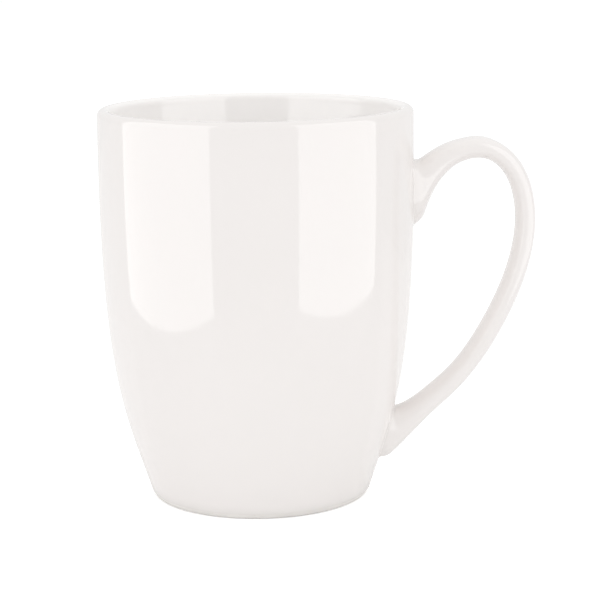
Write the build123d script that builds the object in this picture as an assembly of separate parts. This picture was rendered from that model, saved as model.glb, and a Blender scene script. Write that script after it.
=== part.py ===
from build123d import *
import os
from math import cos, radians, sin, tan

# A free-standing ceramic mug, in millimetres. +Z is up, +X points through the handle, and the origin
# is the centre of the foot, on the surface that the mug stands on. Sizes are of the fired and glazed
# surface, and the clay lies one glaze thickness under it.

# Cup
height = 105.0
rim_radius = 42.0
foot_radius = 29.4
foot_lean = 18.0  # degrees out from upright where the wall leaves the foot
rim_lean = -0.7  # the same at the rim, where the wall has just begun to close in
foot_pull = 0.243  # how far up the wall each end's lean carries, as a share of the height
rim_pull = 0.676
rim_thickness = 3.4
lip_fullness = 0.98  # of the lip's rounding: 1 is a full half circle
wall_thickness = 4.2  # at the foot, from where the wall thins evenly to the rim
base_thickness = 4.6
floor_round = 9.0  # where the inside wall turns into the floor
lip_taper = 0.9  # how much the wall thins, on the inside, towards the lip
lip_taper_height = 9.0
lip_taper_round = 60.0  # of the slight bend where the thinning begins

# Foot ring
land_width = 3.0  # the bare ring that the mug stands on
recess_depth = 2.4
recess_slope = 35.0  # degrees in from upright
recess_round = 1.5
foot_round = 0.9

# Handle
handle_reach = 32.6  # outermost point, beyond the rim
handle_drop = 8.7  # top of the handle, below the rim
handle_thickness = 5.2
handle_width = 11.0
oval_fullness = 0.75  # of the section's corners: 0.71 is a plain ellipse, 1 a rectangle

# Roots, where the handle swells and is luted to the wall with slip
upper_root_drop = 24.0  # middle of the upper root, below the rim
upper_root_rise = 51.0  # degrees above level at which the handle leaves the wall
upper_root_thickness = 9.2
upper_root_taper = 22.0  # length over which the root thins to the handle
lower_root_height = 15.7
lower_root_rise = 40.0
lower_root_thickness = 8.0
lower_root_taper = 14.0
root_width = 12.4
root_ease = 1.5  # how quickly a root's swelling dies away: 1 is even, 2 is quick
collar_spread = 1.4  # how far the slip stands out round the root at the wall
collar_length = 4.0
collar_waist = 0.4  # share of its length at which the slip has nearly closed in on the handle
slip_thickness = 0.4

# Glaze
glaze = 0.25
glaze_line = 1.4  # height above the foot at which the outside glaze stops
lip_wrap = 3.0  # how far the outside glaze laps over the lip and down the inside
recess_glaze_line = 0.8  # the same inside the foot ring

# Working values
floor_height = recess_depth + base_thickness
upper_root_height = height - upper_root_drop
root_overrun = 9.0  # length of handle blank that runs into the wall before it is trimmed
blank_sections = 18
up = Vector(0, 0, 1)
across = Vector(0, 1, 0)
out = Vector(1, 0, 0)


# ---- Cup profiles: x is the radius and y the height ----


def wall_line(foot_inset, rim_inset):
    """The wall's curve from foot to rim, moved in from the outside surface by the two insets."""
    foot = Vector(foot_radius - foot_inset / cos(radians(foot_lean)), 0)
    rim = Vector(rim_radius - rim_inset, height)
    foot_way = Vector(sin(radians(foot_lean)), cos(radians(foot_lean)))
    rim_way = Vector(sin(radians(rim_lean)), cos(radians(rim_lean)))
    foot_handle = foot + foot_way * foot_pull * height
    rim_handle = rim - rim_way * rim_pull * height
    return Bezier(foot, foot_handle, rim_handle, rim)


def inside_of(line, bottom, top):
    """Everything between the axis and a wall line, from one height to another."""
    foot = line @ 0
    rim = line @ 1
    edges = [
        Line((0, 0), foot),
        line,
        Line(rim, (0, height)),
        Line((0, height), (0, 0)),
    ]
    whole = make_face(edges)
    window = Pos(rim_radius, (bottom + top) / 2) * Rectangle(2 * rim_radius, top - bottom)
    return whole & window


def cavity(inset):
    """The drinking space, with its surface moved into the wall by inset."""
    line = wall_line(wall_thickness - inset, rim_thickness + lip_taper - inset)
    space = inside_of(line, floor_height - inset, height)
    corner = space.vertices().group_by(Axis.Y)[0].sort_by(Axis.X)[-1]
    space = fillet(corner, floor_round + inset)
    top = height - rim_thickness / 2
    bottom = top - lip_taper_height
    mouth = rim_radius - rim_thickness + inset
    reach = Line((0, bottom), (rim_radius, bottom))
    start = line.intersect(reach)[0].X
    corners = [(0, bottom), (start, bottom), (mouth, top), (mouth, height), (0, height)]
    space += make_face(Polyline(*corners, close=True))
    bend = space.vertices().sort_by_distance((start, bottom))[0]
    return fillet(bend, lip_taper_round)


def recess(inset):
    """The hollow under the foot, with its surface moved down into the hollow by inset."""
    ceiling = recess_depth - inset
    mouth = foot_radius - land_width - inset / cos(radians(recess_slope))
    crown = mouth - ceiling * tan(radians(recess_slope))
    space = make_face(Polyline((0, 0), (mouth, 0), (crown, ceiling), (0, ceiling), close=True))
    corner = space.vertices().group_by(Axis.Y)[-1].sort_by(Axis.X)[-1]
    return fillet(corner, recess_round - inset)


def cup_profile(inset):
    """Section of the cup wall and floor, with all but the foot moved in by inset."""
    block = inside_of(wall_line(inset, inset), 0, height - inset)
    section = block - cavity(inset) - recess(0)
    lip = section.vertices().group_by(Axis.Y)[-1]
    section = fillet(lip, lip_fullness * (rim_thickness / 2 - inset))
    ring_edges = section.vertices().group_by(Axis.Y)[0]
    return fillet(ring_edges, foot_round)


def turned(section):
    """A profile turned once round the cup's axis."""
    return revolve(Plane.XZ * section, Axis.Z)


def below(level):
    """A strip that covers every profile up to a height."""
    return Pos(rim_radius, level / 2) * Rectangle(2 * rim_radius, level)


def core(inset):
    """The cup without its hollows, up to just under the lip, which trims what is fixed to the wall."""
    return turned(inside_of(wall_line(inset, inset), 0, height - rim_thickness))


# ---- Handle ----


def wall_radius(level):
    """Radius of the cup's outside at a height."""
    reach = Line((0, level), (2 * rim_radius, level))
    return wall_line(0, 0).intersect(reach)[0].X


def way(rise):
    """Direction away from the cup at an angle above level."""
    return out * cos(radians(rise)) + up * sin(radians(rise))


def handle_curve():
    """Centre line from inside the wall at the upper root round to inside it at the lower one."""
    top = height - handle_drop - handle_thickness / 2
    side = rim_radius + handle_reach - handle_thickness / 2
    upper_root = Vector(wall_radius(upper_root_height), 0, upper_root_height)
    lower_root = Vector(wall_radius(lower_root_height), 0, lower_root_height)
    reach = side - rim_radius
    drop = top - lower_root_height

    def at(reach_share, drop_share):
        return Vector(rim_radius + reach * reach_share, 0, top - drop * drop_share)

    return Spline(
        upper_root - way(upper_root_rise) * root_overrun,
        upper_root,
        at(0.24, 0.05),
        at(0.47, 0.0),
        at(0.77, 0.03),
        at(0.99, 0.23),
        at(0.96, 0.36),
        at(0.71, 0.61),
        at(0.36, 0.805),
        lower_root,
        lower_root - way(lower_root_rise) * root_overrun,
    )


def oval(width, depth):
    """Section of the handle, a little fuller than an ellipse."""
    x = width / 2
    y = depth / 2
    f = oval_fullness
    rim = [(x, 0), (f * x, f * y), (0, y), (-f * x, f * y)]
    rim += [(-px, -py) for px, py in rim]
    return make_face(Spline(*rim, periodic=True))


def swell(from_wall, taper):
    """1 at a root and inside the wall, easing to 0 where the taper ends."""
    return min(1, max(0, 1 - from_wall / taper)) ** root_ease


def section_size(share):
    """Thickness and width of the handle at a share of its centre line."""
    upper = swell(share * centre_line.length - root_overrun, upper_root_taper)
    lower = swell((1 - share) * centre_line.length - root_overrun, lower_root_taper)
    tall = handle_thickness
    tall += (upper_root_thickness - handle_thickness) * upper
    tall += (lower_root_thickness - handle_thickness) * lower
    wide = handle_width + (root_width - handle_width) * (upper + lower)
    return tall, wide


def handle_blank(inset):
    """The handle with its ends run into the wall."""
    sections = []
    for i in range(blank_sections + 1):
        share = i / blank_sections
        along = centre_line % share
        plane = Plane(centre_line @ share, x_dir=along.cross(across), z_dir=along)
        tall, wide = section_size(share)
        sections.append(plane * oval(tall - 2 * inset, wide - 2 * inset))
    return loft(sections)


def collar(root_height, inset):
    """Slip smoothed round one root: widest at the wall, and closing in until it is inside the handle."""
    wall = wall_radius(root_height)
    stations = [
        (wall - rim_thickness / 2, collar_spread),
        (wall + glaze, collar_spread),
        (wall + collar_length * collar_waist, collar_spread / 5),
        (wall + collar_length, -collar_spread / 2),
    ]
    sections = []
    for radius, spread in stations:
        cut = Plane((radius, 0, root_height), x_dir=across, z_dir=out)
        arms = bare_blank.intersect(cut).faces()
        root = arms.sort_by_distance(cut.origin)[0].bounding_box()
        wide = root.size.Y + 2 * (spread - inset)
        tall = root.size.Z + 2 * (spread - inset)
        cut.origin = root.center()
        sections.append(cut * oval(wide, tall))
    return loft(sections)


centre_line = handle_curve()
glazed_blank = handle_blank(0)
bare_blank = handle_blank(glaze)
root_heights = [upper_root_height, lower_root_height]
glazed_collars = [collar(level, 0) for level in root_heights]
bare_collars = [collar(level, glaze) for level in root_heights]

cup_body = turned(cup_profile(glaze))
bare_core = core(glaze)
handle = bare_blank - core(glaze - slip_thickness)
upper_slip_joint, lower_slip_joint = [slip - bare_core - handle for slip in bare_collars]

coat = cup_profile(0) - cup_profile(glaze)
half_wall = inside_of(wall_line(wall_thickness / 2, rim_thickness / 2), 0, height)
inside_coat = coat & half_wall & below(height - lip_wrap)
inner_glaze = turned(inside_coat)
outer_glaze = turned(coat - inside_coat - below(glaze_line))
outer_glaze += [glazed_blank, *glazed_collars]
outer_glaze -= [bare_core, bare_blank, *bare_collars]
underside_glaze = turned(recess(0) - recess(glaze) - below(recess_glaze_line))

pieces = {
    "cup_body": cup_body,
    "handle": handle,
    "upper_slip_joint": upper_slip_joint,
    "lower_slip_joint": lower_slip_joint,
    "outer_glaze": outer_glaze,
    "inner_glaze": inner_glaze,
    "underside_glaze": underside_glaze,
}

os.makedirs("parts", exist_ok=True)
for name, piece in pieces.items():
    export_step(piece, f"parts/{name}.step")
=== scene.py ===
from math import atan2, cos, pi, radians, sin, sqrt, tan

import bmesh
import bpy
import numpy as np
from bpy.props import FloatProperty, FloatVectorProperty, IntProperty, PointerProperty
from bpy.types import Operator, Panel, PropertyGroup
from mathutils import Matrix, Vector
from mathutils.geometry import interpolate_bezier


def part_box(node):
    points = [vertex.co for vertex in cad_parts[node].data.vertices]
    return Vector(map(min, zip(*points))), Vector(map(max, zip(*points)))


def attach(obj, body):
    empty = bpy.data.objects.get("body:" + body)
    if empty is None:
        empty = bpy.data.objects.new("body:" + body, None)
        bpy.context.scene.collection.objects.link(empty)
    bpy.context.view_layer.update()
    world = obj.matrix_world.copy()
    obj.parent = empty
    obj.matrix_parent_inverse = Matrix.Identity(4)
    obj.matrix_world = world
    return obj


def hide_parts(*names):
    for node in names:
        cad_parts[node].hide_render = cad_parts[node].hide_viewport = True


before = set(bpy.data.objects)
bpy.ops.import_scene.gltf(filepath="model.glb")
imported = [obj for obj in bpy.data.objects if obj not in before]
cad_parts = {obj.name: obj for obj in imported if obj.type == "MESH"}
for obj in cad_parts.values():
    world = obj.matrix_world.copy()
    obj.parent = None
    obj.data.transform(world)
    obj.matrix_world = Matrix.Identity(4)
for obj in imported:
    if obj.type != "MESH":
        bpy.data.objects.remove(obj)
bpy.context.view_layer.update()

bl_info = {
    "name": "Glazed Mug",
    "version": (1, 0, 0),
    "blender": (4, 5, 0),
    "location": "3D View > Sidebar > Mug",
    "description": "Glaze, bare clay and studio for a thrown mug with a pulled handle",
    "category": "Object",
}

MM = 0.001
OUTSIDE_LOW, OUTSIDE_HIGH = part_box("outer_glaze")
_, INSIDE_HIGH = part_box("inner_glaze")
UNDERSIDE_LOW, UNDERSIDE_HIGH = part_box("underside_glaze")

# The cage that the coats are subdivided from
COLUMNS = 64  # faces round the cup
ROOT_COLUMNS = 5  # of them, left open for each end of the handle
ROOT_ROWS = 7
MIDDLE_ROWS = 8  # between the two openings
RING_SIDES = 2 * (ROOT_COLUMNS + ROOT_ROWS)  # round the handle, to meet an opening edge for edge
LIP_STEPS = 6
CORNER_STEPS = 6
RECESS_STEPS = 4
SMOOTHING = 2  # subdivision levels
OUTLINE_STEPS = 1200  # points along a wall curve when it is measured
LINE_STEPS = 1000  # the same for the handle's centre line
FITTING_ROUNDS = 8  # in which a cage is moved until its subdivided curve goes through its targets
SHARP_EDGE = radians(50)


def length(name, millimetres, description):
    return FloatProperty(
        name=name, description=description, default=millimetres * MM, unit="LENGTH", precision=5
    )


def angle(name, degrees, description):
    return FloatProperty(
        name=name, description=description, default=radians(degrees), subtype="ANGLE"
    )


def share(name, value, description):
    return FloatProperty(name=name, description=description, default=value, subtype="FACTOR")


def colour(name, value, description):
    return FloatVectorProperty(
        name=name, description=description, default=value, size=3, min=0, max=1, subtype="COLOR"
    )


class CupSizes(PropertyGroup):
    """Sizes of the cup, over the glaze."""

    height: FloatProperty(
        name="Height", description="Foot to lip", default=OUTSIDE_HIGH.z, unit="LENGTH"
    )
    glaze_line: FloatProperty(
        name="Glaze line",
        description="Height at which the outside glaze stops above the foot",
        default=OUTSIDE_LOW.z,
        unit="LENGTH",
    )
    inside_top: FloatProperty(
        name="Top of the inside glaze",
        description="Height at which the lip's glaze meets the inside glaze",
        default=INSIDE_HIGH.z,
        unit="LENGTH",
    )
    rim_radius: length("Rim radius", 42, "Outside radius at the lip")
    foot_radius: length("Foot radius", 29.4, "Outside radius at the foot")
    foot_lean: angle("Foot lean", 18, "Out from upright where the wall leaves the foot")
    rim_lean: angle("Rim lean", -0.7, "Out from upright at the lip")
    foot_pull: share("Foot pull", 0.243, "How far up the wall the foot's lean carries")
    rim_pull: share("Rim pull", 0.676, "How far down the wall the rim's lean carries")
    rim_thickness: length("Lip thickness", 3.4, "Wall thickness at the lip")
    wall_thickness: length("Wall thickness", 4.2, "Wall thickness at the foot")
    lip_taper: length("Lip taper", 1.25, "How much the wall thins from the inside towards the lip")
    lip_taper_height: length("Lip taper height", 9, "Height over which the wall thins")
    floor_height: length("Floor height", 7, "Height of the inside floor")
    floor_round: length("Floor rounding", 9, "Radius where the inside wall turns into the floor")
    land_width: length("Foot ring width", 3, "Bare ring that the mug stands on")
    recess_slope: angle("Recess slope", 35, "In from upright, inside the foot ring")
    recess_round: length("Recess rounding", 1.25, "Radius round the recess's ceiling")
    glaze: length("Glaze thickness", 0.25, "Thickness of the glaze coat")


class HandleSizes(PropertyGroup):
    """Sizes of the handle, over the glaze."""

    reach: length("Reach", 32.75, "Outermost point of the handle beyond the rim")
    drop: length("Drop", 8.7, "Top of the handle below the rim")
    thickness: length("Thickness", 5.35, "Thickness of the handle, in its bend")
    width: length("Width", 11, "Width of the handle")
    outer_fullness: FloatProperty(
        name="Outer fullness",
        description="Squareness of the outer half of the section: 2 is an ellipse",
        default=3.1,
    )
    inner_fullness: FloatProperty(
        name="Inner fullness",
        description="Squareness of the inner half of the section: 2 is an ellipse",
        default=2.2,
    )
    upper_root: length("Upper root", 81.75, "Height of the middle of the upper root")
    lower_root: length("Lower root", 16.1, "Height of the middle of the lower root")
    upper_line: length("Upper line", 81, "Height at which the centre line leaves the wall above")
    lower_line: length("Lower line", 15.7, "Height at which the centre line leaves the wall below")
    upper_rise: angle("Upper rise", 51, "Above level, where the handle leaves the wall above")
    lower_rise: angle("Lower rise", 40, "Above level, where the handle leaves the wall below")
    taper: length("Taper", 14, "Length over which a root's thickness dies away")
    opening_row: length("Opening row", 3.3, "Height of a row of the cage beside a root")
    rings: IntProperty(name="Rings", description="Rings of the cage between the roots", default=14)


class Finishes(PropertyGroup):
    """Colours and finishes."""

    glaze: colour("Glaze", (0.865, 0.832, 0.815), "White glaze")
    # Painted light: the same white glaze, painted lighter to stand in for the light inside the cup
    glaze_inside_painted_lighter: colour("Inside glaze", (0.95, 0.93, 0.915), "White glaze on the inside")
    glaze_pooled: colour("Pooled glaze", (0.80, 0.775, 0.75), "White glaze where it lies thick")
    clay: colour("Clay", (0.85, 0.825, 0.795), "Fired white clay, bare")
    clay_fleck: colour("Clay fleck", (0.74, 0.70, 0.65), "Flecks in the bare clay")
    gloss: share("Glaze roughness", 0.045, "Roughness of the glaze")


class StudioSizes(PropertyGroup):
    """Camera and lights."""

    camera_distance: length("Camera distance", 538, "Camera from the point it looks at")
    camera_rise: angle("Camera rise", 11.1, "Camera above the horizon")
    camera_roll: angle("Camera roll", -0.65, "Turn about the line of sight")
    aim_side: length("Aim to the side", 11.25, "Point looked at, towards the handle")
    aim_height: length("Aim height", 52.5, "Height of the point looked at")
    floor_tone: colour("Floor", (0.88, 0.88, 0.88), "Pale floor")
    floor_lift: FloatProperty(
        name="Floor lift", description="Extra brightness of the floor, to the camera only", default=0.36
    )
    backdrop: FloatProperty(
        name="Backdrop", description="Radiance of the room as the camera sees it", default=1.02
    )
    focal_length: FloatProperty(
        name="Focal length", description="On a 36 mm sensor, in millimetres", default=119.4
    )
    panel_brightness: FloatProperty(
        name="Panel brightness", description="Radiance of the two side panels", default=1.75
    )
    panel_glow: FloatProperty(
        name="Panel glow", description="Radiance with which the panels light the mug", default=0.45
    )
    panel_height: length("Panel height", 300, "Height of the two side panels")
    cup_light: FloatProperty(
        name="Cup light", description="Power of the light into the cup, in watts", default=6.0
    )
    room_brightness: FloatProperty(
        name="Room brightness", description="Radiance of the room round the mug", default=1.06
    )
    mirrored_room: FloatProperty(
        name="Mirrored room", description="Radiance of the room as the glaze mirrors it", default=0.85
    )


# Outlines of the roots, in millimetres out from the wall and up from the root's middle: the outer
# point, the inner point and half the width of each ring, starting beside the wall. The last figure is
# how far the ring still follows the wall's roundness.
UPPER_ROOT = [
    ((0.5, 8.75), (1.1, -8.15), 6.9, 0.8),
    ((1.2, 8.6), (2.2, -7.1), 6.6, 0.55),
    ((2.1, 9.0), (2.85, -5.6), 6.3, 0.35),
    ((3.5, 10.0), (3.5, -3.6), 6.05, 0.18),
    ((5.5, 11.3), (4.5, -1.0), 5.85, 0.06),
    ((7.9, 12.6), (6.2, 2.3), 5.7, 0),
    ((10.7, 13.6), (8.8, 5.5), 5.6, 0),
    ((13.4, 14.2), (11.9, 8.1), 5.5, 0),
]
LOWER_ROOT = [
    ((-1.0, -7.0), (2.3, 6.75), 6.9, 0.8),
    ((0.6, -6.4), (3.0, 6.9), 6.5, 0.5),
    ((2.15, -4.9), (3.9, 7.2), 6.2, 0.3),
    ((4.2, -2.8), (5.1, 7.75), 6.0, 0.15),
    ((7.0, 0.1), (6.9, 8.8), 5.8, 0.05),
    ((10.2, 3.4), (9.1, 10.4), 5.65, 0),
    ((13.55, 6.75), (11.4, 12.4), 5.55, 0),
]
ROOT_HALF_HEIGHT = {"upper": (9.1, 9.15), "lower": (6.95, 6.95)}  # of the footprint: up, down
ROOT_HALF_WIDTH = 7.1
ROOT_MARGIN = 0.8  # of smooth wall, round the footprint
OVERRUN = 9 * MM  # of the handle's centre line, inside the wall

# Where each side panel stands on the floor: its near and far end
PANEL_FEET = {
    "left panel": (Vector((-100, -184, 0)) * MM, Vector((-245, 47, 0)) * MM),
    "right panel": (Vector((104, -194, 0)) * MM, Vector((270, -1, 0)) * MM),
}
CUP_LIGHT_ABOVE = 900 * MM  # the lip
CUP_LIGHT_MARGIN = 2 * MM  # between its beam and the lip


def cup():
    return bpy.context.scene.mug_cup


def handle():
    return bpy.context.scene.mug_handle


# ---- Outlines ----


def wall_outline(foot_inset=0.0, rim_inset=0.0):
    """Heights and radii along the wall from foot to lip, moved in by the two insets."""
    c = cup()
    foot = Vector((c.foot_radius - foot_inset / cos(c.foot_lean), 0))
    rim = Vector((c.rim_radius - rim_inset, c.height))
    foot_arm = foot + Vector((sin(c.foot_lean), cos(c.foot_lean))) * c.foot_pull * c.height
    rim_arm = rim - Vector((sin(c.rim_lean), cos(c.rim_lean))) * c.rim_pull * c.height
    points = interpolate_bezier(foot, foot_arm, rim_arm, rim, OUTLINE_STEPS)
    return [p.y for p in points], [p.x for p in points]


def outside_radius(level):
    return float(np.interp(level, *wall_outline()))


def inside_radius(level):
    """Radius of the inside wall, which flares a little towards the lip."""
    c = cup()
    line = wall_outline(c.wall_thickness, c.rim_thickness + c.lip_taper)
    below_lip = c.height - c.rim_thickness / 2 - level
    up_the_flare = min(1.0, max(0.0, 1 - below_lip / c.lip_taper_height))
    return float(np.interp(level, *line)) + c.lip_taper * up_the_flare


def even(start, stop, steps):
    """Heights from start to stop, without start."""
    return [start + (stop - start) * i / steps for i in range(1, steps + 1)]


def outward(steps_in_a_turn):
    """How far outside a circle its cage stands, so that subdividing it gives the circle."""
    return 6 / (4 + 2 * cos(2 * pi / steps_in_a_turn))


def smooth_curve(points):
    """A function of distance along a smooth curve through points, and the curve's length."""
    points = np.array(points, float)
    chord = np.linalg.norm(np.diff(points, axis=0), axis=1)
    at = np.concatenate([[0], np.cumsum(chord)])
    n = len(points)
    system, pull = np.zeros((n, n)), np.zeros((n, points.shape[1]))
    system[0, 0] = system[-1, -1] = 1
    slope = np.diff(points, axis=0) / chord[:, None]
    for i in range(1, n - 1):
        system[i, i - 1 : i + 2] = chord[i - 1], 2 * (chord[i - 1] + chord[i]), chord[i]
        pull[i] = 6 * (slope[i] - slope[i - 1])
    bend = np.linalg.solve(system, pull)

    def place(distance):
        i = int(np.clip(np.searchsorted(at, distance) - 1, 0, n - 2))
        h = chord[i]
        a, b = (at[i + 1] - distance) / h, (distance - at[i]) / h
        line = a * points[i] + b * points[i + 1]
        curve = ((a**3 - a) * bend[i] + (b**3 - b) * bend[i + 1]) * h * h / 6
        return line + curve

    return place, at[-1]


def through(targets):
    """Cage points from which subdividing gives a curve through the targets; the ends stay."""
    cage = [target.copy() for target in targets]
    for _ in range(FITTING_ROUNDS):
        limits = [(a + 4 * b + c) / 6 for a, b, c in zip(cage, cage[1:], cage[2:])]
        for i, limit in enumerate(limits, 1):
            cage[i] += targets[i] - limit
    return cage


def handle_rings():
    """Rings of the handle's cage from one wall to the other: outer and inner point as (radius,
    height), half the width, and how far the ring follows the wall's roundness."""
    c, h = cup(), handle()
    roots = []
    for name, level, outline in (
        ("upper", h.upper_root, UPPER_ROOT),
        ("lower", h.lower_root, LOWER_ROOT),
    ):
        # the handle's outer side is the upper one at the upper root, and the lower one at the lower
        side = 1 if name == "upper" else -1
        over, under = ROOT_HALF_HEIGHT[name]
        rings = []
        for margin in (ROOT_MARGIN, 0):
            outer = level + side * (over + margin) * MM
            inner = level - side * (under + margin) * MM
            points = [Vector((outside_radius(z), z)) for z in (outer, inner)]
            rings.append((*points, (ROOT_HALF_WIDTH + margin) * MM, 1))
        corner = Vector((outside_radius(level), level))
        for outer, inner, half_width, hug in outline:
            rings.append(
                (corner + Vector(outer) * MM, corner + Vector(inner) * MM, half_width * MM, hug)
            )
        roots.append(rings)
    upper, lower = roots
    half = h.thickness / 2
    top = c.height - h.drop - half
    reach, fall = h.reach - half, top - h.lower_line

    def at(reach_share, fall_share):
        return Vector((c.rim_radius + reach * reach_share, top - fall * fall_share))

    def leaving(level, rise):
        """Where the centre line leaves the wall, and a point on it behind the wall."""
        root = Vector((outside_radius(level), level))
        return root, root - Vector((cos(rise), sin(rise))) * OVERRUN

    upper_root, behind_upper = leaving(h.upper_line, h.upper_rise)
    lower_root, behind_lower = leaving(h.lower_line, h.lower_rise)
    bends = [at(0.24, 0.05), at(0.47, 0), at(0.77, 0.03), at(0.99, 0.23), at(0.96, 0.36)]
    bends += [at(0.71, 0.61), at(0.36, 0.805)]
    place, whole = smooth_curve([behind_upper, upper_root, *bends, lower_root, behind_lower])

    def nearest(point):
        return min(np.linspace(0, whole, LINE_STEPS), key=lambda d: (Vector(place(d)) - point).length)

    ends = []
    for outer, inner, half_width, _ in (upper[-1], lower[-1]):
        centre = (outer + inner) / 2
        distance = nearest(centre)
        off_line = centre - Vector(place(distance))
        ends.append((distance, off_line, (outer - inner).length / 2 - half, half_width - h.width / 2))
    (first, *_), (last, *_) = ends
    middle = []
    for distance in even(first, last, h.rings + 1)[:-1]:
        here = Vector(place(distance))
        along = Vector(place(distance + 0.1 * MM)) - Vector(place(distance - 0.1 * MM))
        thick, wide = half, h.width / 2
        for from_here, off_line, thicker, wider in ends:
            fade = max(0, 1 - abs(distance - from_here) / h.taper) ** 2
            here += off_line * fade
            thick += thicker * fade
            wide += wider * fade
        out = Vector((-along.y, along.x)).normalized()
        middle.append((here + out * thick, here - out * thick, wide, 0))
    bridge = [upper[-1], *middle, lower[-1]]
    outers = through([ring[0] for ring in bridge])[1:-1]
    inners = through([ring[1] for ring in bridge])[1:-1]
    middle = [(outer, inner, ring[2], 0) for outer, inner, ring in zip(outers, inners, middle)]
    return [*upper, *middle, *lower[::-1]]


# ---- Modelling ----


def nothing_selected():
    if bpy.context.object and bpy.context.object.mode != "OBJECT":
        bpy.ops.object.mode_set(mode="OBJECT")
    bpy.ops.object.select_all(action="DESELECT")


def pick(piece, kind, chosen):
    """In edit mode, selects the vertices, edges or faces that chosen says yes to, and only those."""
    bpy.ops.mesh.select_all(action="DESELECT")
    bpy.ops.mesh.select_mode(type=kind)
    mesh = bmesh.from_edit_mesh(piece.data)
    parts = {"VERT": mesh.verts, "EDGE": mesh.edges, "FACE": mesh.faces}[kind]
    for part in parts:
        if chosen(part):
            part.select_set(True)
    bmesh.update_edit_mesh(piece.data)


def first_ring(name, radius, level):
    """A new piece in edit mode, with one ring of the cup's columns."""
    nothing_selected()
    bpy.ops.mesh.primitive_circle_add(
        vertices=COLUMNS,
        radius=radius * outward(COLUMNS),
        location=(0, 0, level),
        rotation=(0, 0, pi / COLUMNS),
    )
    piece = bpy.context.object
    piece.name = piece.data.name = name
    bpy.ops.object.transform_apply(location=True, rotation=True, scale=True)
    bpy.ops.object.mode_set(mode="EDIT")
    bpy.ops.mesh.select_mode(type="VERT")
    bpy.ops.mesh.select_all(action="SELECT")
    return piece


def draw_up(rows):
    """Extrudes the selected ring, which is the first row, through rows of (radius, height)."""
    for (radius, level), (next_radius, next_level) in zip(rows, rows[1:]):
        bpy.ops.mesh.extrude_region_move(
            TRANSFORM_OT_translate={"value": (0, 0, next_level - level)}
        )
        grow = next_radius / radius
        bpy.ops.transform.resize(value=(grow, grow, 1), center_override=(0, 0, next_level))


def smoothed(piece):
    """Subdivides a cage, in object mode."""
    bpy.ops.object.mode_set(mode="OBJECT")
    smoothing = piece.modifiers.new("Smoothing", "SUBSURF")
    smoothing.levels = smoothing.render_levels = SMOOTHING
    smoothing.boundary_smooth = "ALL"
    bpy.ops.object.modifier_apply(modifier=smoothing.name)


def coated(piece, *nodes):
    """Gives a coat its thickness, and puts it in the place of its CAD nodes."""
    coat = piece.modifiers.new("Coat", "SOLIDIFY")
    coat.thickness = cup().glaze
    coat.offset = -1
    coat.use_even_offset = True
    bpy.ops.object.modifier_apply(modifier=coat.name)
    bpy.ops.object.shade_smooth_by_angle(angle=SHARP_EDGE)
    finish(piece, glaze_material(inside="inner_glaze" in nodes))
    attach(piece, "root")
    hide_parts(*nodes)


def finish(piece, material):
    piece.data.materials.clear()
    piece.data.materials.append(material)


def first_handle_ring(piece, ring):
    """Adds the handle's first ring to the piece in edit mode, shaped to the handle's section."""
    h = handle()
    outer, inner, half_width, _ = ring
    middle = (outer + inner) / 2
    centre = (middle.x, 0, middle.y)
    bpy.ops.mesh.select_all(action="DESELECT")
    bpy.ops.mesh.primitive_circle_add(
        vertices=RING_SIDES, radius=half_width, location=centre, rotation=(0, pi / 2, 0)
    )
    bpy.ops.transform.rotate(
        value=pi / RING_SIDES, orient_axis="X", center_override=centre, orient_type="GLOBAL"
    )
    half = (outer - inner).length / 2
    mesh = bmesh.from_edit_mesh(piece.data)
    for v in [v for v in mesh.verts if v.select]:
        turn = atan2(v.co.z - centre[2], v.co.y)
        power = 2 / (h.outer_fullness if sin(turn) > 0 else h.inner_fullness)
        v.co.y = half_width * abs(cos(turn)) ** power * (1 if cos(turn) > 0 else -1)
        v.co.z = centre[2] + half * abs(sin(turn)) ** power * (1 if sin(turn) > 0 else -1)
    bmesh.update_edit_mesh(piece.data)


def number_ring(piece, number):
    """Writes a number on the vertices of the selected ring, to find them by later."""
    mesh = bmesh.from_edit_mesh(piece.data)
    numbers = mesh.verts.layers.int.get("ring") or mesh.verts.layers.int.new("ring")
    for v in mesh.verts:
        if v.select:
            v[numbers] = number
    bmesh.update_edit_mesh(piece.data)


def draw_handle(piece, rings):
    """Extrudes the handle ring by ring from the upper root's opening to the lower one's."""
    first_handle_ring(piece, rings[0])
    number_ring(piece, 1)
    for number, (before, after) in enumerate(zip(rings, rings[1:]), 2):
        (outer, inner, half_width, _), (next_outer, next_inner, next_half, _) = before, after
        middle, next_middle = (outer + inner) / 2, (next_outer + next_inner) / 2
        across, next_across = outer - inner, next_outer - next_inner
        step = next_middle - middle
        bpy.ops.mesh.extrude_region_move(TRANSFORM_OT_translate={"value": (step.x, 0, step.y)})
        centre = (next_middle.x, 0, next_middle.y)
        bpy.ops.transform.rotate(
            value=atan2(next_across.y, next_across.x) - atan2(across.y, across.x),
            orient_axis="Y",
            orient_type="GLOBAL",
            center_override=centre,
        )
        face = Vector((next_across.x, 0, next_across.y)).normalized()
        sideways = Vector((0, 1, 0))
        axes = Matrix((face, sideways, face.cross(sideways))).transposed()
        bpy.ops.transform.resize(
            value=(next_across.length / across.length, next_half / half_width, 1),
            orient_type="GLOBAL",
            orient_matrix=axes,
            orient_matrix_type="GLOBAL",
            center_override=centre,
        )
        number_ring(piece, number)


# ---- Materials ----


def new_material(name):
    """An empty material with a Principled shader, its node adder and its linker."""
    material = bpy.data.materials.new(name)
    material.use_nodes = True
    tree = material.node_tree
    tree.nodes.clear()
    output = tree.nodes.new("ShaderNodeOutputMaterial")
    shader = tree.nodes.new("ShaderNodeBsdfPrincipled")
    tree.links.new(shader.outputs["BSDF"], output.inputs["Surface"])
    return material, tree, shader


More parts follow.
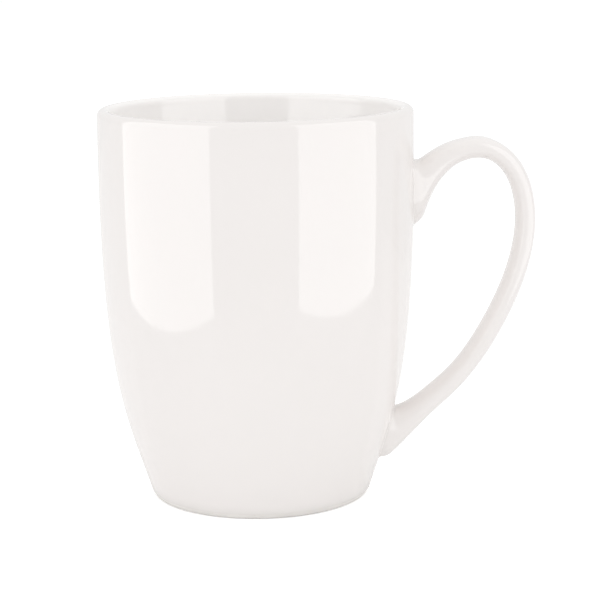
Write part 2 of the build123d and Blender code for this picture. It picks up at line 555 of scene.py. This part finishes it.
def put(tree, kind, settings=None, **inputs):
    """Adds a node; inputs are values, or output sockets to link."""
    node = tree.nodes.new(kind)
    for key, value in (settings or {}).items():
        setattr(node, key, value)
    for key, value in inputs.items():
        socket = node.inputs[key.replace("_", " ")]
        if isinstance(value, bpy.types.NodeSocket):
            tree.links.new(value, socket)
        else:
            socket.default_value = value
    return node


def object_coordinates(tree):
    return put(tree, "ShaderNodeTexCoord").outputs["Object"]


def noise(tree, where, size, detail=2.0, roughness=0.5):
    """Noise whose features are about size across, from 0 to 1."""
    node = put(
        tree,
        "ShaderNodeTexNoise",
        Vector=where,
        Scale=1 / size,
        Detail=detail,
        Roughness=roughness,
    )
    return node.outputs["Fac"]


def ramp(tree, value, low, high, to_low=0.0, to_high=1.0, smooth=True):
    kind = "SMOOTHSTEP" if smooth else "LINEAR"
    node = put(
        tree,
        "ShaderNodeMapRange",
        {"interpolation_type": kind},
        Value=value,
        From_Min=low,
        From_Max=high,
        To_Min=to_low,
        To_Max=to_high,
    )
    return node.outputs["Result"]


def maths(tree, operation, first, second):
    node = tree.nodes.new("ShaderNodeMath")
    node.operation = operation
    for socket, value in zip(node.inputs, (first, second)):
        if isinstance(value, bpy.types.NodeSocket):
            tree.links.new(value, socket)
        else:
            socket.default_value = value
    return node.outputs["Value"]


def blend(tree, amount, first, second):
    """Colour between two colours; each is three numbers or a socket."""
    node = tree.nodes.new("ShaderNodeMix")
    node.data_type = "RGBA"
    factor, a, b = node.inputs["Factor"], node.inputs[6], node.inputs[7]
    for socket, value in ((factor, amount), (a, first), (b, second)):
        if isinstance(value, bpy.types.NodeSocket):
            tree.links.new(value, socket)
        else:
            socket.default_value = value if socket is factor else (*value, 1)
    return node.outputs[2]


def raised(tree, height, depth, strength=1.0, over=None):
    inputs = {"Height": height, "Distance": depth, "Strength": strength}
    if over is not None:
        inputs["Normal"] = over
    return put(tree, "ShaderNodeBump", **inputs).outputs["Normal"]


def glaze_material(inside=False):
    """White glaze: glossy, with a faint ripple, a fine orange peel, and a warmer, duller tone where it
    lies thick or runs thin over an edge. Inside the cup and on the lip's inner side it is painted
    whiter, as painted light for the light inside the cup."""
    colours = bpy.context.scene.mug_finishes
    c = cup()
    material, tree, shader = new_material("white glaze, painted lighter inside" if inside else "white glaze")
    where = object_coordinates(tree)
    cloud = noise(tree, where, 34 * MM, 3, 0.5)
    mottle = noise(tree, where, 5 * MM, 4, 0.6)
    tone = maths(
        tree, "ADD", ramp(tree, cloud, 0.3, 0.7, 0, 0.10), ramp(tree, mottle, 0.3, 0.75, 0, 0.05)
    )
    level = put(tree, "ShaderNodeSeparateXYZ", Vector=where).outputs["Z"]
    foot = ramp(tree, level, c.glaze_line, c.glaze_line + 2.6 * MM, 0.5, 0)
    lip = ramp(tree, level, c.height - 1.2 * MM, c.height, 0, 0.16)
    pooled = put(tree, "ShaderNodeAttribute", {"attribute_name": "pooling"}).outputs["Fac"]
    edges = maths(tree, "MAXIMUM", foot, lip)
    thick = maths(tree, "MAXIMUM", edges, maths(tree, "MULTIPLY", pooled, 0.45))
    thin_tone, thick_tone = tuple(colours.glaze), tuple(colours.glaze_pooled)
    body = blend(tree, maths(tree, "ADD", tone, thick), thin_tone, thick_tone)
    flat = put(tree, "ShaderNodeVectorMath", {"operation": "MULTIPLY"}, Vector=where)
    flat.inputs[1].default_value = (1, 1, 0)
    reach = put(tree, "ShaderNodeVectorMath", {"operation": "LENGTH"}, Vector=flat.outputs["Vector"])
    # Painted light: the lip's inner side, like the whole inside coat, gets the lighter inside colour,
    # standing in for the light inside the cup
    crest, inner_side = (c.rim_radius - part * c.rim_thickness for part in (0.45, 0.8))
    within = ramp(tree, reach.outputs["Value"], crest, inner_side, 0, 1)
    lip_inside = ramp(tree, level, c.inside_top - 4 * MM, c.inside_top - 2 * MM, 0, 1)
    painted_inside_light = 1.0 if inside else maths(tree, "MULTIPLY", within, lip_inside)
    body = blend(tree, painted_inside_light, body, tuple(colours.glaze_inside_painted_lighter))
    tree.links.new(body, shader.inputs["Base Color"])
    gloss = ramp(tree, mottle, 0.3, 0.8, colours.gloss, colours.gloss + 0.035)
    tree.links.new(gloss, shader.inputs["Roughness"])
    shader.inputs["IOR"].default_value = 1.5
    ripple = raised(tree, cloud, 0.035 * MM, 0.5)
    peel = raised(tree, noise(tree, where, 1.3 * MM, 2, 0.4), 0.0012 * MM, 0.5, ripple)
    tree.links.new(peel, shader.inputs["Normal"])
    return material


def clay_material(name, colour_now, fleck, grain):
    """Fired clay: matt and slightly sandy, with sparse flecks."""
    material, tree, shader = new_material(name)
    where = object_coordinates(tree)
    sand = noise(tree, where, grain, 5, 0.65)
    cloud = noise(tree, where, 12 * MM, 3, 0.5)
    darker = tuple(x * 0.93 for x in colour_now)
    body = blend(tree, ramp(tree, cloud, 0.35, 0.65), tuple(colour_now), darker)
    spots = put(tree, "ShaderNodeTexVoronoi", {"feature": "F1"}, Vector=where, Scale=1 / (2.2 * MM))
    specks = ramp(tree, spots.outputs["Distance"], 0.05, 0.13, 0.55, 0)
    body = blend(tree, specks, body, tuple(fleck))
    tree.links.new(body, shader.inputs["Base Color"])
    tree.links.new(ramp(tree, sand, 0.3, 0.7, 0.62, 0.82), shader.inputs["Roughness"])
    tree.links.new(raised(tree, sand, 0.02 * MM, 0.6), shader.inputs["Normal"])
    return material


# ---- Pieces ----


class MUG_OT_outside_glaze(Operator):
    """Glaze over the wall, the lip and the handle, in one skin"""

    bl_idname = "mug.outside_glaze"
    bl_label = "Outside glaze"

    def execute(self, context):
        c, h = cup(), handle()
        half = h.opening_row * ROOT_ROWS / 2
        levels = [c.glaze_line, h.lower_root - half]
        levels += even(h.lower_root - half, h.lower_root + half, ROOT_ROWS)
        levels += even(h.lower_root + half, h.upper_root - half, MIDDLE_ROWS)
        levels += even(h.upper_root - half, h.upper_root + half, ROOT_ROWS)
        lip_radius = c.rim_thickness / 2
        lip_middle = Vector((c.rim_radius - lip_radius, c.height - lip_radius))
        levels += even(h.upper_root + half, lip_middle.y - 1.1 * MM, 3)
        rows = [(outside_radius(z), z) for z in levels]
        for i in range(LIP_STEPS + 1):
            turn = pi * i / LIP_STEPS
            at_edge = i in (0, LIP_STEPS)
            stand = outward(2 * LIP_STEPS)
            stand = (1 + stand) / 2 if at_edge else stand
            rows.append(
                (
                    lip_middle.x + lip_radius * stand * cos(turn),
                    lip_middle.y + (0 if at_edge else lip_radius * stand * sin(turn)),
                )
            )
        for z in even(lip_middle.y, c.inside_top, 2):
            rows.append((inside_radius(z), z))
        piece = first_ring("glaze_outside", *rows[0])
        draw_up(rows)
        self.open_roots(piece, half)
        rings = handle_rings()
        draw_handle(piece, rings)
        self.bend_rings(piece, rings)
        self.close_roots(piece, half)
        self.mark(piece)
        bpy.ops.mesh.select_all(action="SELECT")
        bpy.ops.mesh.normals_make_consistent(inside=False)
        smoothed(piece)
        self.settle(piece)
        coated(piece, "outer_glaze", "handle", "upper_slip_joint", "lower_slip_joint")
        return {"FINISHED"}

    def open_roots(self, piece, half):
        """Takes out the faces of the wall where the handle joins it."""
        h = handle()
        wide = sin(pi * ROOT_COLUMNS / COLUMNS) * cup().rim_radius

        def in_a_root(face):
            at = face.calc_center_median()
            tall = min(abs(at.z - h.upper_root), abs(at.z - h.lower_root))
            radius = sqrt(at.x**2 + at.y**2)
            outside = radius > outside_radius(at.z) - cup().rim_thickness / 2
            return at.x > 0 and abs(at.y) < wide * radius / cup().rim_radius and tall < half and outside

        pick(piece, "FACE", in_a_root)
        mesh = bmesh.from_edit_mesh(piece.data)
        chosen = sum(f.select for f in mesh.faces)
        if chosen != 2 * ROOT_COLUMNS * ROOT_ROWS:
            raise RuntimeError(f"the roots' openings came out as {chosen} faces")
        bpy.ops.mesh.delete(type="FACE")
        bpy.ops.mesh.select_mode(type="VERT")

    def bend_rings(self, piece, rings):
        """Bends the rings beside the wall to its roundness."""
        mesh = bmesh.from_edit_mesh(piece.data)
        numbers = mesh.verts.layers.int["ring"]
        for v in mesh.verts:
            hug = rings[v[numbers] - 1][3] if v[numbers] else 0
            if hug:
                radius = outside_radius(v.co.z)
                on_wall = sqrt(radius**2 - v.co.y**2)
                v.co.x = on_wall if hug == 1 else v.co.x - hug * (radius - on_wall)
        bmesh.update_edit_mesh(piece.data)

    def close_roots(self, piece, half):
        """Bridges each end of the handle to the edge of its opening."""
        h = handle()
        for level in (h.upper_root, h.lower_root):

            def round_the_opening(edge):
                middle = (edge.verts[0].co + edge.verts[1].co) / 2
                near = abs(middle.z - level) < half + 0.4 * h.opening_row
                return edge.is_boundary and near and middle.x > 0

            pick(piece, "EDGE", round_the_opening)
            mesh = bmesh.from_edit_mesh(piece.data)
            chosen = sum(e.select for e in mesh.edges)
            if chosen != 2 * RING_SIDES:
                raise RuntimeError(f"an opening and its ring came out as {chosen} edges")
            bpy.ops.mesh.bridge_edge_loops()
        bpy.ops.mesh.select_mode(type="VERT")

    def mark(self, piece):
        """Keeps which vertices lie on the wall, so that they can be set exactly on it."""
        bpy.ops.object.mode_set(mode="OBJECT")
        wall = piece.vertex_groups.new(name="wall")
        valley = piece.vertex_groups.new(name="valley")
        c, h = cup(), handle()
        slack = 0.02 * MM  # within which a vertex counts as on the wall
        for v in piece.data.vertices:
            radius = sqrt(v.co.x**2 + v.co.y**2)
            exact = outside_radius(v.co.z)
            off = min(abs(radius - exact), abs(radius / outward(COLUMNS) - exact))
            if off < slack and v.co.z < c.height - c.rim_thickness:
                root = h.upper_root if v.co.z > c.height / 2 else h.lower_root
                tall = ROOT_HALF_HEIGHT["upper" if v.co.z > c.height / 2 else "lower"][0] * MM
                inside = (v.co.y / (ROOT_HALF_WIDTH * MM)) ** 2 + ((v.co.z - root) / tall) ** 2
                footprint = v.co.x > 0 and inside < 1.1
                wall.add([v.index], 0.0 if footprint else 1.0, "REPLACE")
                valley.add([v.index], 1.0 if footprint else 0.0, "REPLACE")
        bpy.ops.object.mode_set(mode="EDIT")

    def settle(self, piece):
        """Sets the wall's vertices exactly on the turned wall, and paints where glaze pools."""
        mesh = piece.data
        count = len(mesh.vertices)
        place = np.empty(count * 3, np.float32)
        mesh.vertices.foreach_get("co", place)
        place = place.reshape(-1, 3).astype(float)
        weights = {name: np.zeros(count) for name in ("wall", "valley")}
        for name, values in weights.items():
            index = piece.vertex_groups[name].index
            for v in mesh.vertices:
                for g in v.groups:
                    if g.group == index:
                        values[v.index] = g.weight
        on_wall = weights["wall"] > 0.999
        levels, radii = wall_outline()
        exact = np.interp(place[:, 2], levels, radii)
        now = np.hypot(place[:, 0], place[:, 1])
        scale = np.where(on_wall, exact / now, 1)
        place[:, 0] *= scale
        place[:, 1] *= scale
        mesh.vertices.foreach_set("co", place.astype(np.float32).ravel())
        pooling = mesh.attributes.new("pooling", "FLOAT", "POINT")
        pooling.data.foreach_set("value", weights["valley"].astype(np.float32))
        piece.vertex_groups.clear()
        mesh.attributes.remove(mesh.attributes["ring"])
        mesh.update()


class MUG_OT_inside_glaze(Operator):
    """Glaze over the inside wall and floor"""

    bl_idname = "mug.inside_glaze"
    bl_label = "Inside glaze"

    def execute(self, context):
        c = cup()
        turn_middle = c.floor_height + c.floor_round
        heights = np.linspace(c.floor_height, turn_middle, 200)
        walls = np.array([inside_radius(z) for z in heights])
        rolls = walls - np.sqrt(c.floor_round**2 - (turn_middle - heights) ** 2)
        touch = int(rolls.argmin())
        roll = float(rolls[touch])
        touch_level = float(heights[touch])
        first_turn = atan2(turn_middle - touch_level, walls[touch] - roll)
        levels = [c.inside_top, c.inside_top - 1.3 * MM, c.inside_top - 3.2 * MM]
        levels += even(levels[-1], c.height - c.lip_taper_height - 3 * MM, 3)
        levels += even(levels[-1], touch_level + 2.5 * MM, 20)
        rows = [(inside_radius(z), z) for z in levels]
        for i in range(CORNER_STEPS + 1):
            turn = first_turn + (pi / 2 - first_turn) * i / CORNER_STEPS
            stand = c.floor_round * outward(4 * CORNER_STEPS)
            rows.append((roll + stand * cos(turn), turn_middle - min(stand * sin(turn), c.floor_round)))
        for r in even(roll, 0.4 * roll, 3):
            rows.append((r, c.floor_height))
        piece = first_ring("glaze_inside_painted_lighter", *rows[0])
        draw_up(rows)
        bpy.ops.mesh.fill_grid(span=COLUMNS // 4)
        bpy.ops.mesh.select_all(action="SELECT")
        bpy.ops.mesh.normals_make_consistent(inside=True)
        smoothed(piece)
        facing(piece, lambda at, normal: at.x * normal.x + at.y * normal.y < 0)
        coated(piece, "inner_glaze")
        return {"FINISHED"}


class MUG_OT_underside_glaze(Operator):
    """Glaze in the recess under the foot"""

    bl_idname = "mug.underside_glaze"
    bl_label = "Underside glaze"

    def execute(self, context):
        c = cup()
        ceiling = UNDERSIDE_HIGH.z - c.glaze
        bottom = UNDERSIDE_LOW.z
        mouth = c.foot_radius - c.land_width - c.glaze / cos(c.recess_slope)
        slope = tan(c.recess_slope)
        turn_all = pi / 2 - c.recess_slope
        reach = c.recess_round * tan(turn_all / 2)
        crown = mouth - ceiling * slope
        start = Vector((crown + reach * sin(c.recess_slope), ceiling - reach * cos(c.recess_slope)))
        rows = [(mouth - bottom * slope, bottom)]
        rows.append(((rows[0][0] + start.x) / 2, (rows[0][1] + start.y) / 2))
        centre = Vector((crown - reach, ceiling - c.recess_round))
        for i in range(RECESS_STEPS + 1):
            direction = c.recess_slope + turn_all * i / RECESS_STEPS
            rows.append(
                (
                    centre.x + c.recess_round * cos(direction),
                    centre.y + c.recess_round * sin(direction),
                )
            )
        for r in even(rows[-1][0], 0.35 * rows[-1][0], 4):
            rows.append((r, ceiling))
        piece = first_ring("glaze_underside", *rows[0])
        draw_up(rows)
        bpy.ops.mesh.fill_grid(span=COLUMNS // 4)
        bpy.ops.mesh.select_all(action="SELECT")
        bpy.ops.mesh.normals_make_consistent(inside=False)
        smoothed(piece)
        facing(piece, lambda at, normal: normal.z < 0)
        coated(piece, "underside_glaze")
        return {"FINISHED"}


def facing(piece, right_way):
    """Turns an open skin over if most of its faces look the wrong way."""
    faces = piece.data.polygons
    right = sum(1 if right_way(f.center, f.normal) else -1 for f in faces)
    if right < 0:
        piece.data.flip_normals()


class MUG_OT_clay(Operator):
    """Fired clay on the cup, which is bare at the foot ring"""

    bl_idname = "mug.clay"
    bl_label = "Bare clay"

    def execute(self, context):
        colours = context.scene.mug_finishes
        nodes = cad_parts
        if "cup_body" not in nodes:
            raise RuntimeError("the model has no cup_body")
        clay = clay_material("fired clay", colours.clay, colours.clay_fleck, grain=0.35 * MM)
        finish(nodes["cup_body"], clay)
        return {"FINISHED"}


class MUG_OT_studio(Operator):
    """Floor, side panels, room light and camera"""

    bl_idname = "mug.studio"
    bl_label = "Studio"

    def execute(self, context):
        s = context.scene.mug_studio
        nothing_selected()
        bpy.ops.mesh.primitive_plane_add(size=6, location=(0, 0, 0))
        floor = context.object
        floor.name = floor.data.name = "studio_floor"
        material, tree, shader = new_material("pale floor")
        shader.inputs["Base Color"].default_value = (*s.floor_tone, 1)
        shader.inputs["Roughness"].default_value = 0.8
        shader.inputs["Emission Color"].default_value = (1, 1, 1, 1)
        ray = tree.nodes.new("ShaderNodeLightPath")
        glow = maths(tree, "MULTIPLY", ray.outputs["Is Camera Ray"], s.floor_lift)
        tree.links.new(glow, shader.inputs["Emission Strength"])
        finish(floor, material)
        self.room(context, s)
        self.panels(s)
        self.cup_light(s)
        self.camera(context, s)
        context.scene.view_settings.view_transform = "Standard"
        return {"FINISHED"}

    def room(self, context, s):
        """Even light all round, set apart for what the glaze mirrors and what the camera sees."""
        world = bpy.data.worlds.new("studio room")
        context.scene.world = world
        world.use_nodes = True
        tree = world.node_tree
        tree.nodes.clear()
        output = tree.nodes.new("ShaderNodeOutputWorld")
        ray = tree.nodes.new("ShaderNodeLightPath")
        light = s.room_brightness
        for kind, seen in (("Is Glossy Ray", s.mirrored_room), ("Is Camera Ray", s.backdrop)):
            change = maths(tree, "MULTIPLY", ray.outputs[kind], seen - s.room_brightness)
            light = maths(tree, "ADD", change, light)
        background = put(tree, "ShaderNodeBackground", Color=(1, 1, 1, 1), Strength=light)
        tree.links.new(background.outputs["Background"], output.inputs["Surface"])

    def panels(self, s):
        """Two upright soft panels that stand on the floor in front, left and right. Each is two lights:
        one that the glaze mirrors, and a softer one that lights it."""
        up = Vector((0, 0, 1))
        for name, (near, far) in PANEL_FEET.items():
            wide, tall = (far - near).length, s.panel_height
            middle = (near + far) / 2 + up * tall / 2
            along = (far - near).normalized()
            inward = along.cross(up)
            if inward.dot(middle) > 0:
                inward = -inward
            axes = Matrix((up.cross(-inward), up, -inward)).transposed()
            for part, brightness in (("mirrored", s.panel_brightness), ("glow", s.panel_glow)):
                bpy.ops.object.light_add(type="AREA", location=middle, rotation=axes.to_euler())
                panel = bpy.context.object
                panel.name = f"{name}, {part}"
                light = panel.data
                light.shape = "RECTANGLE"
                light.size, light.size_y = wide, tall
                light.energy = brightness * pi * wide * tall
                panel.visible_camera = False
                panel.visible_diffuse = part == "glow"
                panel.visible_glossy = part == "mirrored"

    def cup_light(self, s):
        """A soft spot straight down into the cup, kept off its lip."""
        c = cup()
        bpy.ops.object.light_add(type="SPOT", location=(0, 0, c.height + CUP_LIGHT_ABOVE))
        spot = bpy.context.object
        spot.name = "light into the cup"
        spot.data.energy = s.cup_light
        spot.data.shadow_soft_size = 5 * MM
        beam = c.rim_radius - c.rim_thickness - CUP_LIGHT_MARGIN
        spot.data.spot_size = 2 * atan2(beam, CUP_LIGHT_ABOVE)
        spot.data.spot_blend = 0.3
        spot.visible_camera = spot.visible_glossy = False

    def camera(self, context, s):
        """A long lens in front of the mug, a little above it."""
        aim = Vector((s.aim_side, 0, s.aim_height))
        back = Vector((0, -cos(s.camera_rise), sin(s.camera_rise)))
        turn = Matrix.Rotation(pi / 2 - s.camera_rise, 3, "X") @ Matrix.Rotation(s.camera_roll, 3, "Z")
        bpy.ops.object.camera_add(location=aim + back * s.camera_distance, rotation=turn.to_euler())
        camera = context.object
        camera.data.lens = s.focal_length
        camera.data.sensor_width = 36
        camera.data.clip_start = 0.01
        camera.data.clip_end = 20
        context.scene.camera = camera


class MUG_PT_panel(Panel):
    """Everything that this add-on makes"""

    bl_label = "Mug"
    bl_idname = "MUG_PT_panel"
    bl_space_type = "VIEW_3D"
    bl_region_type = "UI"
    bl_category = "Mug"

    def draw(self, context):
        for operator in OPERATORS:
            self.layout.operator(operator.bl_idname)


OPERATORS = (
    MUG_OT_outside_glaze,
    MUG_OT_inside_glaze,
    MUG_OT_underside_glaze,
    MUG_OT_clay,
    MUG_OT_studio,
)
GROUPS = {
    "mug_cup": CupSizes,
    "mug_handle": HandleSizes,
    "mug_finishes": Finishes,
    "mug_studio": StudioSizes,
}


def register():
    for made in (*GROUPS.values(), *OPERATORS, MUG_PT_panel):
        bpy.utils.register_class(made)
    for name, group in GROUPS.items():
        setattr(bpy.types.Scene, name, PointerProperty(type=group))


def unregister():
    for name in GROUPS:
        delattr(bpy.types.Scene, name)
    for made in reversed((*GROUPS.values(), *OPERATORS, MUG_PT_panel)):
        bpy.utils.unregister_class(made)


def main():
    register()
    bpy.ops.mug.outside_glaze()
    bpy.ops.mug.inside_glaze()
    bpy.ops.mug.underside_glaze()
    bpy.ops.mug.clay()
    bpy.ops.mug.studio()


if __name__ == "__main__":
    main()
